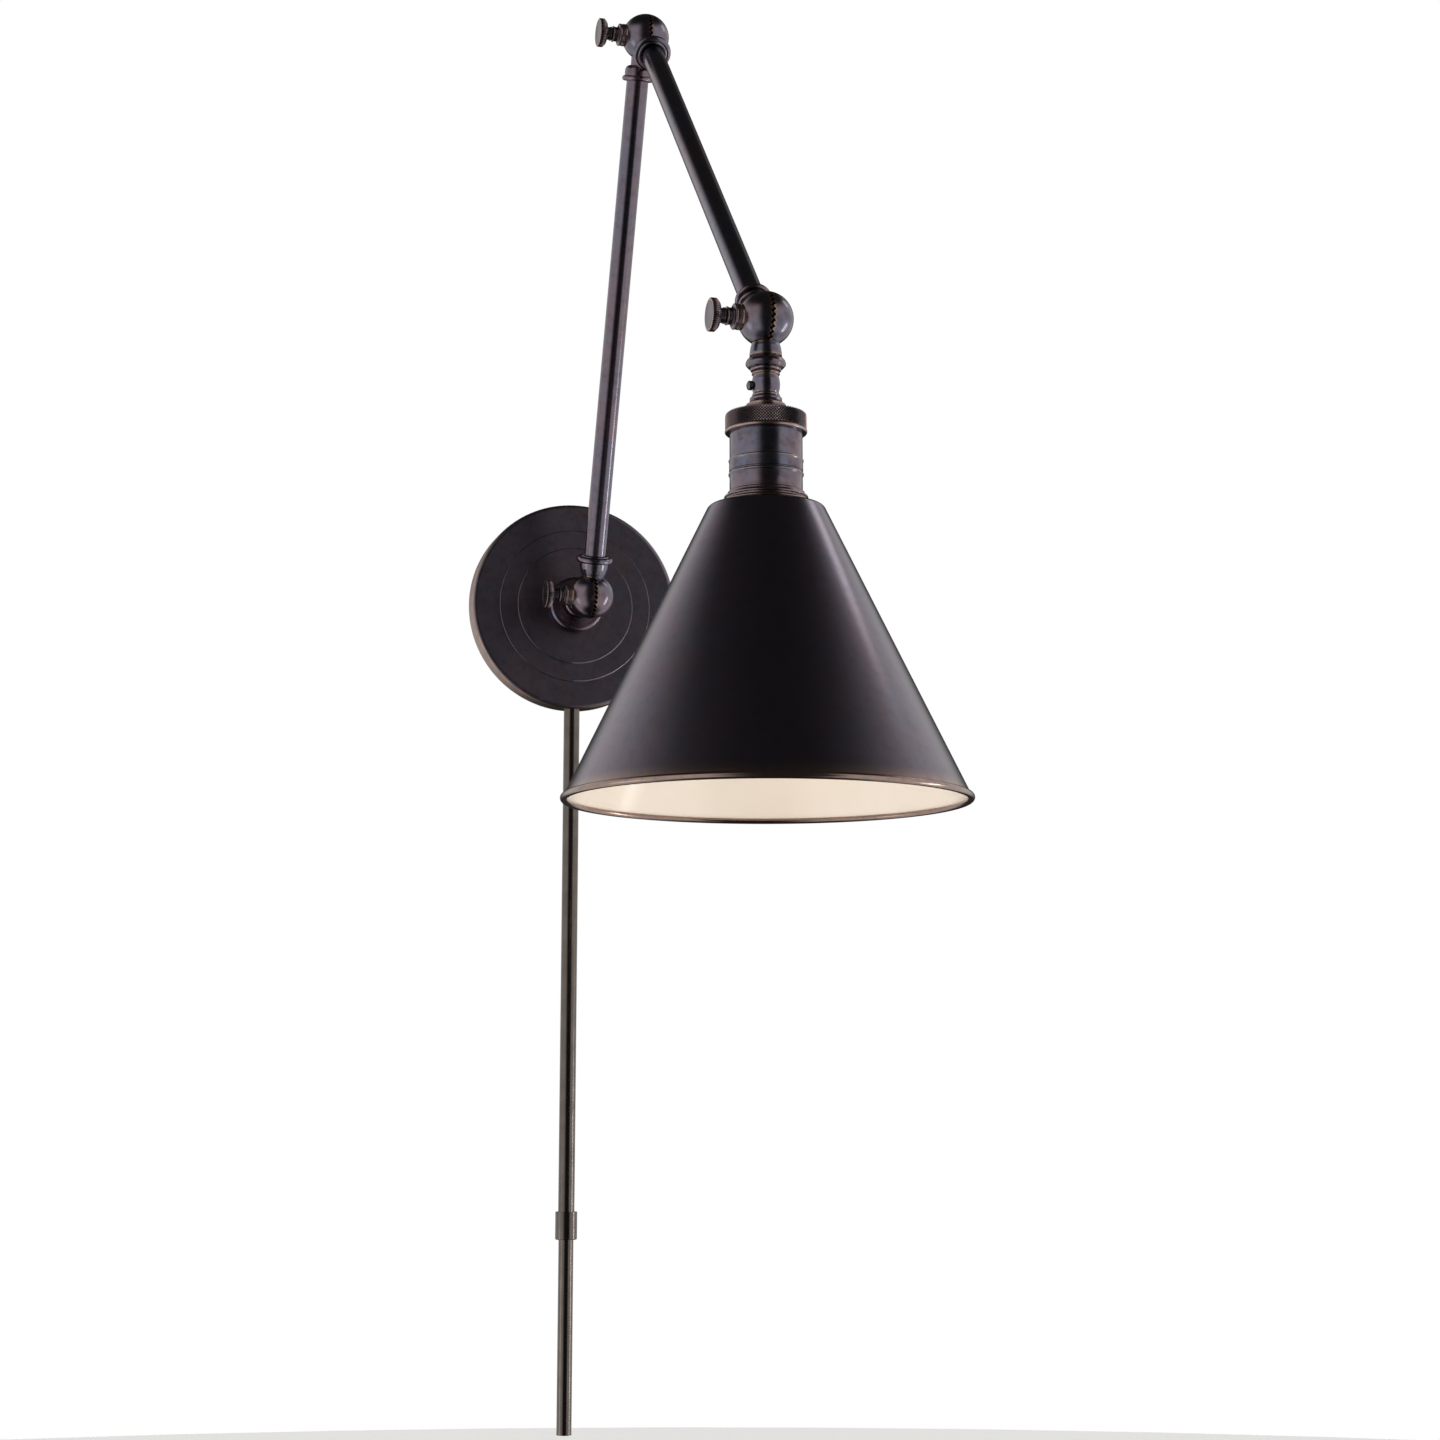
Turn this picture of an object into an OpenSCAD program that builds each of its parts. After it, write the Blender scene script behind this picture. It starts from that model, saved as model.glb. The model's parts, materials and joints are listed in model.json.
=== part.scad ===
// Two-arm wall light with toothed ball knuckles, a cone shade and a telescoping cord cover.
// The wall is the plane Y = 0 and the light stands out towards -Y, with +Z up.
// The origin is on the wall behind the centre of the wall plate. Millimetres.

/* [Wall plate] */
// Outside diameter of the wall plate
plate_d = 127; // [115:1:160]
// Depth of the plate from the wall to its outer face
plate_depth = 13; // [12.8:0.1:20]
// Thickness of the plate's metal
plate_wall = 1.2; // [0.8:0.1:1.4]
// Radius of the plate's front edge
plate_edge_r = 2.5; // [1.5:0.5:4]
// Diameter of the outer ring step
outer_step_d = 94; // [80:1:100]
// Diameter of the inner ring step
inner_step_d = 72; // [60:1:76]
// Height of each ring step
step_h = 0.6; // [0.3:0.1:1]

/* [Mounting bar] */
// Distance between the centres of the two slots
slot_spacing = 79.4; // [70:0.2:82]
// End-to-end length of a slot
slot_length = 23.6; // [10:0.2:24]
// Width of a slot
slot_w = 4.6; // [4:0.1:6]
// Width of the bar
bar_w = 20; // [18:1:26]
// Thickness of the bar
bar_t = 2; // [1.5:0.1:2.5]
// How far the middle of the bar stands off the wall
bar_rise = 4.5; // [3.5:0.1:5]
// Outside diameter of the threaded nipple
nipple_d = 9.8; // [9:0.1:11]

/* [Knuckles] */
// Diameter of the turned ring between the plate and the first stem
hub_ring_d = 34; // [30:0.5:40]
// Thickness of that ring
hub_ring_t = 9; // [8.5:0.1:10]
// Diameter of each ball
ball_d = 27.1; // [25:0.1:34]
// Distance from the wall to the centre of the first ball
hub_reach = 46; // [44:1:60]
// Sideways shift of the stem that enters a ball from its fixed side
stem_shift = 2.4; // [2.3:0.1:3]
// Number of teeth on each half
tooth_n = 30; // [20:1:36]
// Height of the teeth
tooth_h = 1.3; // [0.8:0.1:1.6]
// Gap between the tips of facing teeth
tooth_gap = 0.3; // [0.2:0.05:0.5]
// Clearance between a collar and the ball half that it sweeps over
sweep_gap = 0.35; // [0.3:0.05:0.6]

/* [Thumbscrews] */
// Diameter of the milled head
knob_d = 16.4; // [14:0.1:20]
// Thickness of the milled head
knob_t = 4.5; // [3:0.1:7]
// Diameter of the neck under the head
knob_neck_d = 8; // [6.5:0.1:9]
// Length of the neck under the head
knob_neck_l = 3.4; // [2:0.1:6]
// Diameter of the clamping screw
screw_d = 5; // [4:0.1:5.4]
// Radial running clearance of screws and sliding tubes
run_gap = 0.06; // [0.02:0.01:0.1]
// Diameter of the turned boss on the ball
boss_d = 12.9; // [11:0.1:15]
// Length of the turned boss
boss_l = 6.6; // [5:0.1:9]

/* [Arms] */
// Centre-to-centre length of the lower arm
lower_arm_l = 330; // [200:1:450]
// Centre-to-centre length of the upper arm
upper_arm_l = 330; // [200:1:450]
// Lean of the lower arm out from the wall, from straight up
lower_lean = 20.5; // [5:0.5:40]
// Lean of the upper arm out from the wall, from straight down
upper_lean = 44; // [36:0.5:80]
// Outside diameter of the arm tubes
arm_d = 12.7; // [11.5:0.1:13.5]
// Wall of the arm tubes
arm_wall = 1; // [0.6:0.1:1.4]
// Diameter of one insulated lead
lead_d = 1.7; // [1.2:0.1:1.8]
// Bore for the leads through collars and stems
wire_bore = 4.4; // [4.2:0.1:4.5]

/* [Socket] */
// Outside diameter of the milled ring nut
ring_d = 39.4; // [38:0.1:44]
// Height of the milled ring nut
ring_h = 9.8; // [8:0.1:14]
// Outside diameter of the metal sleeve
shell_d = 34.8; // [34.4:0.1:36]
// Length of the metal sleeve below the ring nut
shell_l = 28.5; // [26:0.5:40]
// Bore of the lampholder's screw shell
lamp_bore_d = 26.3; // [26:0.05:26.6]
// Length of the screw shell
lamp_bore_l = 22; // [18:0.5:26]

/* [Shade] */
// Diameter of the shade over its rolled rim
shade_d = 192; // [150:1:260]
// Height of the shade from its top to the rim's middle
shade_h = 140; // [100:1:200]
// Diameter of the shade's top across the middle of its shoulder
shade_top_d = 51; // [48:1:70]
// Slope of the shade's top outside the holder
top_slope = 14; // [6:1:20]
// Radius of the shoulder between the top and the side
shoulder_r = 3; // [2:0.5:5]
// Thickness of the shade's metal
shade_wall = 0.9; // [0.6:0.1:1.2]
// Thickness of the enamel coat inside the shade
enamel_t = 0.3; // [0.2:0.05:0.4]
// Diameter of the rolled rim's bead
rim_bead_d = 3.4; // [2.6:0.1:5]

/* [Cord cover] */
// Outside diameter of the fixed tube
cover_d = 9.53; // [9.2:0.01:10]
// Outside diameter of the sliding tube
slider_d = 8.73; // [8:0.01:8.8]
// Wall of the sliding tube
slider_wall = 0.35; // [0.3:0.05:0.6]
// Length of the fixed tube below the plate
cover_l = 306; // [200:1:400]
// Outside diameter of the collar
collar_d = 12.8; // [12:0.1:12.9]
// Height of the collar
collar_h = 16; // [12:0.5:24]
// Length of the sliding tube that shows below the collar
slider_out = 110; // [60:1:200]
// Length of the sliding tube inside the fixed tube
slider_in = 160; // [150:1:180]

/* [Hidden] */

// Finishes
bronze = "#3a302d";
rubbed = "#6d5446";
brass = "#b08d4c";
steel = "#9a9c9e";
enamel = "#f3ecdf";
black = "#1f1f20";
porcelain = "#e9e6de";

// Ball centres, and the frames along the members
ball_r = ball_d / 2;
half_gap = tooth_gap / 2;
hub_pos = [stem_shift, -hub_reach, 0];
elbow_pos = hub_pos + [stem_shift, -lower_arm_l * sin(lower_lean), lower_arm_l * cos(lower_lean)];
shade_pos = elbow_pos + [stem_shift, -upper_arm_l * sin(upper_lean), -upper_arm_l * cos(upper_lean)];

// Collars, measured from the ball's centre along the member
cup_start = 11.9 + ball_r - 13.55;
cup_end = cup_start + 8.5;
tube_start_a = cup_end + 3.6;
tube_start_b = cup_start + 13.3;
tube_start_c = cup_start + 8.6;
bead_small = 0.9;
stem_root = cup_start - 1.5;
socket_depth = 6;
tube_fit = 0.05;
arm_bore = arm_d - 2 * arm_wall;
arm_lead_bore = stem_shift + 1.6;

// Teeth and inside of the balls
tooth_inner_r = ball_r - 4.2;
tooth_w = 2 * PI * ball_r / tooth_n * 0.8;
pillar_r = screw_d / 2 + 1.4;
cavity_r = tooth_inner_r - 1;
cavity_depth = 6;

// Plate, bar, earth screw and nipple
proud = 2 * step_h;
plate_bore = nipple_d + 0.4;
nut_h = 2.6;
ground_r = 2;
bar_front = bar_rise + bar_t;
nipple_back = bar_rise;
nipple_front = hub_reach - cup_start - 4;
cover_y = collar_d / 2 + 0.1;
cover_top = plate_d / 2 - 14;
cover_bottom = plate_d / 2 + cover_l;
cover_bore = slider_d + 2 * run_gap;

// Neck and socket, measured down from the third ball's centre
spigot_r = 4.7;
head_bore = 3.4;
spigot_top = cup_start + 16.5;
spigot_end = spigot_top + 9;
barrel_end = cup_start + 31.7;
set_screw_r = 1.5;
set_screw_z = spigot_top + 5.2;
cap_top = barrel_end + 1;
ring_top = cap_top + 2.6;
ring_bottom = ring_top + ring_h;
shell_bottom = ring_bottom + shell_l;
shell_wall = 0.9;
liner_r = shell_d / 2 - shell_wall - 0.1;
liner_wall = 1;
body_r = liner_r - liner_wall - 0.1;
body_top = ring_bottom + 3;
holder_h = 6;
holder_r = 22;
shade_ring_r = 20.5;
holder_bottom = shell_bottom + holder_h;
shade_top = holder_bottom;
skirt_bottom = shade_top + 12;
rim_z = shade_top + shade_h;
rim_r = shade_d / 2 - rim_bead_d / 2;
shell_top = ring_top + 5;
cap_lip_r = 15.8;
lamp_r = lamp_bore_d / 2;
lamp_wall = 0.5;

// Frames: each puts a piece modelled along +Z, with a knuckle's axis along X, in its place
module at_hub() translate(hub_pos) children();
module at_elbow() translate(elbow_pos) children();
module at_shade() translate(shade_pos) children();
module to_wall() rotate([-90, 0, 0]) children();
module up_lower() rotate([lower_lean, 0, 0]) children();
module down_lower() rotate([lower_lean + 180, 0, 0]) children();
module down_upper() rotate([180 - upper_lean, 0, 0]) children();
module up_upper() rotate([-upper_lean, 0, 0]) children();
module hang() at_shade() rotate([180, 0, 0]) children();
module off_wall() rotate([90, 0, 0]) children();
module cover_place() translate([0, -cover_y, 0]) children();

// Turned shapes
module turned() rotate_extrude($fn = 96) children();
module bead(r_out, z, r) translate([r_out - r, z]) circle(r, $fn = 32);
module ring2d(r_in, r_out, z0, z1) translate([r_in, z0]) square([r_out - r_in, z1 - z0]);
module rod(r, z0, z1) translate([0, 0, z0]) cylinder(r = r, h = z1 - z0, $fn = 64);
module tube(r_out, r_in, z0, z1) turned() ring2d(r_in, r_out, z0, z1);

// The half of a toothed ball that lies on the -X side of the split
module tooth_cut() {
    over = 0.3;
    half_w = tooth_w / 2;
    outer_w = half_w * (1 + over / tooth_h);
    for (i = [0:tooth_n - 1])
        rotate([i * 360 / tooth_n, 0, 0])
            translate([-half_gap, 0, tooth_inner_r - 1])
                linear_extrude(ball_r) polygon([[over, -outer_w], [-tooth_h, 0], [over, outer_w]]);
}

module along_x(side) rotate([0, side * 90, 0]) children();

module ball_half() {
    recess = half_gap + tooth_h + 0.4;
    difference() {
        intersection() {
            sphere(ball_r, $fn = 96);
            translate([-half_gap - ball_d, 0, 0]) cube(2 * ball_d, center = true);
        }
        tooth_cut();
        along_x(-1) difference() {
            rod(tooth_inner_r, 0, recess);
            rod(pillar_r, 0, recess);
        }
        along_x(-1) tube(cavity_r, pillar_r, half_gap, cavity_depth);
    }
}

module other_half() rotate([0, 0, 180]) ball_half();

// The space that the other half of a knuckle turns in
module sweep_space(side) {
    intersection() {
        sphere(ball_r + sweep_gap, $fn = 96);
        translate([-side * (ball_d - half_gap), 0, 0]) cube(2 * ball_d, center = true);
    }
}

// Collar of a member that starts at a ball: flared cup, heavy bead and thin ring
module collar_a(end) {
    turned() {
        polygon([[0, stem_root], [6.4, stem_root], [6.6, cup_start], [7.5, cup_start + 2.4],
            [8.2, cup_start + 5], [8.6, cup_end], [0, cup_end]]);
        ring2d(0, 7.6, cup_end - 0.1, tube_start_a);
        bead(10.9, cup_end + 1.9, 2);
        bead(8.4, tube_start_a, bead_small);
        ring2d(0, arm_bore / 2 - tube_fit, cup_end, end);
    }
}

// Collar of a member that ends at a ball: waist, domed cup, groove and bead
module collar_b(end) {
    dome_r = 7.8;
    dome_z = cup_start + 4.6;
    turned() {
        ring2d(0, 4.8, stem_root, dome_z + 2);
        intersection() {
            translate([dome_r - 3.2, dome_z + 3]) circle(3.2, $fn = 32);
            ring2d(0, dome_r, dome_z - 1, dome_z + 3);
        }
        ring2d(0, dome_r - 3.2, dome_z - 0.2, dome_z + 4);
        ring2d(0, dome_r, dome_z + 3, dome_z + 6.2);
        ring2d(0, 6.7, dome_z + 6, tube_start_b);
        bead(9.1, dome_z + 7.4, 1.5);
        ring2d(0, arm_bore / 2 - tube_fit, tube_start_b - 1, end);
    }
}

// Short collar of a member that ends at a ball: two beads with a cove between them
module collar_c(end) {
    turned() {
        ring2d(0, 7, stem_root, tube_start_c);
        bead(8.7, cup_start + 0.9, 1.1);
        bead(9.2, cup_start + 6.2, 1.6);
        ring2d(0, arm_bore / 2 - tube_fit, tube_start_c - 1, end);
    }
}

// A knob-side knuckle half with its screw bore; its stem stands off the axis
module fixed_knuckle(stem_end) {
    difference() {
        union() {
            ball_half();
            difference() {
                translate([-stem_shift, 0, 0]) children();
                sweep_space(-1);
            }
        }
        translate([-stem_shift, 0, 0]) rod(wire_bore / 2, ball_r - 5, stem_end + 1);
        along_x(-1) rod(screw_d / 2 + run_gap, 0, ball_d);
    }
}

// A far knuckle half with its threaded bore; its stem is centred on the ball
module moving_knuckle(stem_end, bore_r) {
    difference() {
        union() {
            other_half();
            difference() {
                children();
                sweep_space(1);
            }
        }
        translate([stem_shift, 0, 0]) rod(wire_bore / 2, ball_r - 5, cup_start + 5);
        rod(bore_r, cup_start + 3, stem_end + 1);
        along_x(1) rod(screw_d / 2 + run_gap, 0, cavity_depth + 3);
    }
}

// Boss that the thumbscrew passes through, seated on the ball
module screw_boss() {
    seat = ball_r + boss_l;
    along_x(-1) difference() {
        turned() {
            ring2d(0, boss_d / 2 - 0.7, ball_r - 3, ball_r + 2.6);
            bead(boss_d / 2, ball_r + 0.6, 1.3);
            bead(boss_d / 2 - 0.4, ball_r + 3.2, 1);
            ring2d(0, knob_neck_d / 2 + 0.9, ball_r + 2, seat - 1);
            ring2d(0, knob_neck_d / 2 + 0.3, ball_r + 2, seat);
        }
        rod(screw_d / 2 + run_gap, 0, seat + 1);
        sphere(ball_r + 0.02, $fn = 96);
    }
}

// Thumbscrew: milled head, neck and clamping screw
module thumbscrew() {
    mill_n = 52;
    mill_h = 0.35;
    neck_z = ball_r + boss_l + 0.3;
    head_z = neck_z + knob_neck_l;
    color(rubbed) along_x(-1) {
        rod(knob_neck_d / 2, neck_z, head_z + 0.5);
        rod(screw_d / 2, -cavity_depth - 1, neck_z + 0.5);
        intersection() {
            translate([0, 0, head_z]) linear_extrude(knob_t)
                polygon([for (i = [0:2 * mill_n - 1])
                    (knob_d / 2 - (i % 2) * mill_h) * [cos(180 * i / mill_n), sin(180 * i / mill_n)]]);
            turned() polygon([[0, head_z], [knob_d / 2 - 1.6, head_z], [knob_d / 2 + 0.1, head_z + 1.5],
                [knob_d / 2 + 0.1, head_z + knob_t - 0.5], [knob_d / 2 - 0.6, head_z + knob_t],
                [0, head_z + knob_t]]);
        }
    }
}

// Two leads side by side, running along +Z with a sideways drift
module leads(z0, z1, x0, x1) {
    slope = atan((x1 - x0) / (z1 - z0));
    color(black) for (side = [-1, 1])
        translate([x0, side * (lead_d / 2 + 0.08), z0])
            rotate([0, slope, 0]) cylinder(d = lead_d, h = (z1 - z0) / cos(slope), $fn = 32);
}

// Wall side
module wall_plate() {
    r = plate_d / 2;
    front = plate_depth;
    color(bronze) difference() {
        off_wall() turned() difference() {
            union() {
                ring2d(0, r, 0, front - plate_edge_r);
                ring2d(0, r - plate_edge_r, 0, front);
                translate([r - plate_edge_r, front - plate_edge_r]) circle(plate_edge_r, $fn = 32);
                ring2d(0, outer_step_d / 2 - step_h, front - 1, front + step_h);
                bead(outer_step_d / 2, front, step_h);
                ring2d(0, inner_step_d / 2 - step_h, front - 1, front + proud);
                bead(inner_step_d / 2, front + step_h, step_h);
            }
            ring2d(0, r - plate_wall, -1, front - plate_edge_r);
            ring2d(0, r - plate_edge_r, -1, front - plate_wall);
        }
        off_wall() rod(plate_bore / 2, 0, front + 2 * proud);
        cover_place() rod(cover_d / 2 + tube_fit, -r - 1, -cover_top);
    }
}

module mounting_bar() {
    half = slot_spacing / 2 + slot_length / 2 + 4;
    foot = slot_spacing / 2 - slot_length / 2 - 3;
    flat = nipple_d / 2 + 5;
    color(steel) difference() {
        translate([0, 0, -bar_w / 2]) linear_extrude(bar_w)
            polygon([[-half, 0], [-foot, 0], [-flat, -bar_rise], [flat, -bar_rise], [foot, 0], [half, 0],
                [half, -bar_t], [foot - 1, -bar_t], [flat - 0.7, -bar_front], [0.7 - flat, -bar_front],
                [1 - foot, -bar_t], [-half, -bar_t]]);
        off_wall() rod(nipple_d / 2 + 0.02, 0, bar_front + 1);
        for (side = [-1, 1]) translate([side * slot_spacing / 2, 0, 0]) off_wall() {
            reach = (slot_length - slot_w) / 2;
            for (end = [-1, 1]) translate([end * reach, 0, 0]) rod(slot_w / 2, -1, bar_t + 1);
            translate([-reach, -slot_w / 2, -1]) cube([2 * reach, slot_w, bar_t + 2]);
        }
        ground_place() rod(ground_r, -1, bar_t + 1);
    }
}

module ground_place() translate([slot_spacing / 2 + slot_length / 2 - 2, 0, bar_w / 2 - 4]) off_wall() children();

module ground_screw() {
    color("#3d6b46") ground_place() difference() {
        union() {
            rod(ground_r - 0.02, 0, bar_t + 1.2);
            rod(3.4, bar_t + 0.05, bar_t + 2.4);
        }
        translate([-4, -0.5, bar_t + 1.6]) cube([8, 1, 2]);
    }
}

module mounting_nipple() {
    color(brass) off_wall() tube(nipple_d / 2, nipple_d / 2 - 2, nipple_back, nipple_front);
}

module nipple_locknut() {
    color(steel) off_wall() difference() {
        translate([0, 0, bar_front + 0.05]) cylinder(d = 17, h = nut_h, $fn = 6);
        rod(nipple_d / 2 + 0.02, bar_front - 1, bar_front + nut_h + 1);
    }
}

module hub_ring() {
    base = plate_depth + proud;
    color(rubbed) off_wall() difference() {
        turned() {
            ring2d(0, hub_ring_d / 2 - 2.5, base, base + hub_ring_t - 1.6);
            bead(hub_ring_d / 2, base + 3, 2.6);
            ring2d(0, hub_ring_d / 2 - 1.4, base, base + 1.4);
            ring2d(0, 9.5, base, base + hub_ring_t);
        }
        rod(nipple_d / 2 + 0.02, 0, base + hub_ring_t + 1);
    }
}

module hub_knuckle() {
    stem_end = hub_reach - plate_depth - proud - hub_ring_t;
    color(bronze) at_hub() to_wall() difference() {
        fixed_knuckle(stem_end) turned() {
            ring2d(0, 7, stem_root, stem_end);
            bead(8.7, cup_start + 0.9, 1.1);
            bead(9.6, stem_end - 3.2, 1.8);
        }
        translate([-stem_shift, 0, 0]) rod(nipple_d / 2 + 0.02, hub_reach - nipple_front - 0.5, hub_reach);
    }
}

module hub_screw_boss() color(rubbed) at_hub() to_wall() screw_boss();
module hub_thumbscrew() at_hub() to_wall() thumbscrew();

module supply_wires() {
    bend = 3.4;
    lead_y = bar_rise - lead_d / 2 - 0.4;
    color(black) for (side = [-1, 1]) translate([side * (lead_d / 2 + 0.08), 0, 0]) {
        translate([0, -lead_y + bend / 2, 0]) {
            translate([0, -bend / 2, -cover_top + 4]) cylinder(d = lead_d, h = cover_top - 4 - bend, $fn = 32);
            translate([0, -bend / 2 - bend, -bend]) rotate([0, -90, 0]) rotate([0, 0, 90])
                rotate_extrude(angle = -90, $fn = 64) translate([bend, 0]) circle(d = lead_d, $fn = 32);
        }
        translate([0, -lead_y - bend, 0]) rotate([90, 0, 0])
            cylinder(d = lead_d, h = hub_reach - ball_r + 4.5 - lead_y - bend, $fn = 32);
    }
}

module cord_cover_tube() {
    color(bronze) cover_place() tube(cover_d / 2, cover_bore / 2, -cover_bottom, -cover_top);
}

module cord_cover_collar() {
    low = cover_bottom + collar_h / 2;
    color(rubbed) cover_place() turned() difference() {
        union() {
            ring2d(cover_bore / 2, collar_d / 2, -low + 0.8, -low + collar_h);
            ring2d(cover_bore / 2, collar_d / 2 - 0.8, -low, -low + collar_h);
            bead(collar_d / 2, -low + 0.8, 0.8);
        }
        ring2d(0, cover_d / 2 + 0.02, -cover_bottom - 0.02, -low + collar_h + 1);
    }
}

module cord_bushing() {
    color(black) cover_place() turned() {
        ring2d(2.6, cover_bore / 2 - 0.02, -cover_top - 6, -cover_top);
        ring2d(2.6, cover_d / 2 + 0.2, -cover_top, -cover_top + 1.6);
    }
}

module cord_cover_slider() {
    low = cover_bottom + collar_h / 2 + slider_out;
    color(bronze) cover_place()
        tube(slider_d / 2, slider_d / 2 - slider_wall, -low, -cover_bottom - collar_h / 2 + slider_in);
}

// Lower arm
module lower_arm_knuckle() {
    end = tube_start_a + socket_depth;
    color(bronze) at_hub() up_lower() moving_knuckle(end, arm_lead_bore) collar_a(end);
}

module lower_arm_tube() {
    color(bronze) at_hub() up_lower()
        tube(arm_d / 2, arm_bore / 2, tube_start_a + bead_small, lower_arm_l - tube_start_b - 0.05);
}

module lower_arm_wires() {
    at_hub() up_lower() leads(ball_r - 4, lower_arm_l - ball_r + 4, stem_shift, 0);
}

module elbow_knuckle() {
    end = tube_start_b + socket_depth;
    color(bronze) at_elbow() down_lower() fixed_knuckle(end) collar_b(end);
}

module elbow_screw_boss() color(rubbed) at_elbow() down_lower() screw_boss();
module elbow_thumbscrew() at_elbow() down_lower() thumbscrew();

// Upper arm
module upper_arm_knuckle() {
    end = tube_start_a + socket_depth;
    color(bronze) at_elbow() down_upper() moving_knuckle(end, arm_lead_bore) collar_a(end);
}

module upper_arm_tube() {
    color(bronze) at_elbow() down_upper()
        tube(arm_d / 2, arm_bore / 2, tube_start_a + bead_small, upper_arm_l - tube_start_c - 0.05);
}

module upper_arm_wires() {
    at_elbow() down_upper() leads(ball_r - 4, upper_arm_l - ball_r + 4, stem_shift, 0);
}

module shade_knuckle() {
    end = tube_start_c + socket_depth;
    color(bronze) at_shade() up_upper() fixed_knuckle(end) collar_c(end);
}

module shade_screw_boss() color(rubbed) at_shade() up_upper() screw_boss();
module shade_thumbscrew() at_shade() up_upper() thumbscrew();

// Lamp head
module neck_knuckle() {
    color(bronze) hang() moving_knuckle(spigot_end, head_bore) turned() {
        polygon([[0, stem_root], [6.4, stem_root], [6.6, cup_start], [7.3, cup_start + 2.4],
            [7.8, cup_start + 5.6], [7.8, cup_start + 6.8], [0, cup_start + 6.8]]);
        ring2d(0, 7.1, cup_start + 6.7, cup_start + 8);
        polygon([[0, cup_start + 7.4], [7.8, cup_start + 7.4], [9.1, cup_start + 8.8], [9.75, cup_start + 10.3],
            [9.6, cup_start + 11.2], [8.6, cup_start + 12.4], [7.6, cup_start + 12.9], [0, cup_start + 12.9]]);
        bead(7.5, cup_start + 13.4, 0.9);
        ring2d(0, 6, cup_start + 12.8, spigot_top);
        bead(6.8, cup_start + 15.4, 0.8);
        ring2d(0, spigot_r, spigot_top - 1, spigot_end);
    }
}

module neck_barrel() {
    top = spigot_top + 0.05;
    color(rubbed) hang() difference() {
        turned() {
            polygon([[0, top], [6.1, top], [6.6, top + 2], [6.8, top + 4], [6.7, top + 6], [6.2, top + 8],
                [5.9, top + 8.6], [0, top + 8.6]]);
            ring2d(0, 5.7, top + 8.5, barrel_end - 3);
            bead(6.7, top + 9.6, 0.9);
            bead(7.8, top + 11.6, 1.1);
            polygon([[0, barrel_end - 3.6], [7.2, barrel_end - 3.6], [7.8, barrel_end - 2.3],
                [8.8, barrel_end - 1.2], [9.4, barrel_end - 1], [9.4, barrel_end], [0, barrel_end]]);
            ring2d(0, nipple_d / 2, barrel_end - 1, barrel_end + 9);
        }
        rod(spigot_r + tube_fit, top - 1, spigot_end + 0.5);
        rod(head_bore, top, barrel_end + 10);
        translate([0, 0, set_screw_z]) along_x(-1) rod(set_screw_r, 4, 8);
    }
}

module barrel_set_screw() {
    color(black) hang() translate([0, 0, set_screw_z]) along_x(-1) difference() {
        union() {
            rod(set_screw_r - 0.02, spigot_r + 0.02, 7.2);
            rod(2.3, 6.95, 8.6);
            translate([0, 0, 8.6]) intersection() {
                translate([0, 0, -2.2]) sphere(3.2, $fn = 48);
                rod(2.3, -0.4, 2);
            }
        }
        translate([-3, -0.35, 8.5]) cube([6, 0.7, 2]);
    }
}

module head_wires() {
    hang() leads(ball_r - 4, body_top - 0.5, stem_shift, 0);
}

module socket_cap() {
    r = shell_d / 2 - 0.1;
    color(bronze) hang() difference() {
        turned() {
            polygon([[0, cap_top], [10.2, cap_top], [12.6, cap_top + 0.7], [14.6, cap_top + 1.7],
                [cap_lip_r, cap_top + 2.5], [cap_lip_r, ring_top + 1.4], [r, ring_top + 1.4], [r, shell_top - 0.1],
                [r - 1.1, shell_top - 0.1], [r - 1.1, ring_top + 2.4], [0, ring_top + 2.4]]);
            ring2d(0, 10.2, cap_top - 0.9, cap_top + 0.5);
        }
        rod(nipple_d / 2 + 0.02, cap_top - 2, ring_bottom);
    }
}

module knurled_ring() {
    r = ring_d / 2;
    bore = shell_d / 2 + 0.1;
    lip_r = cap_lip_r + 0.2;
    round_r = 1.6;
    color(rubbed) hang() turned() difference() {
        union() {
            ring2d(lip_r, r - 0.35, ring_top + round_r, ring_bottom);
            ring2d(lip_r, r - 0.35 - round_r, ring_top, ring_bottom);
            bead(r - 0.35, ring_top + round_r, round_r);
            bead(r, ring_bottom - 0.95, 0.9);
        }
        ring2d(0, bore, ring_top + 1.3, ring_bottom + 1);
    }
}

module socket_shell() {
    r = shell_d / 2;
    band_1 = ring_bottom + 13.4;
    band_2 = ring_bottom + 19.6;
    color(bronze) hang() turned() difference() {
        union() {
            ring2d(r - shell_wall, r, shell_top, shell_bottom);
            bead(r + 0.45, band_1, 0.8);
            ring2d(r - shell_wall, r + 0.25, band_1 + 1.2, band_2);
            bead(r + 0.45, band_2 + 0.4, 0.8);
            bead(r + 0.3, shell_bottom - 0.7, 0.6);
        }
        ring2d(0, r - shell_wall, shell_top - 1, shell_bottom + 1);
    }
}

module socket_liner() {
    color(black) hang() turned() {
        ring2d(liner_r - liner_wall, liner_r, shell_top + 1, skirt_bottom);
        for (i = [0:4]) bead(liner_r + 0.25, shade_top + 6 + i * 1.4, 0.5);
    }
}

module socket_body() {
    cavity_top = skirt_bottom - lamp_bore_l - 5;
    color(porcelain) hang() difference() {
        rod(body_r, body_top, skirt_bottom - 1);
        rod(lamp_r + lamp_wall + 0.05, cavity_top, skirt_bottom);
        for (side = [-1, 1]) translate([0, side * 9, 0]) rod(1.5, body_top - 1, body_top + 6);
    }
}

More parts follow.
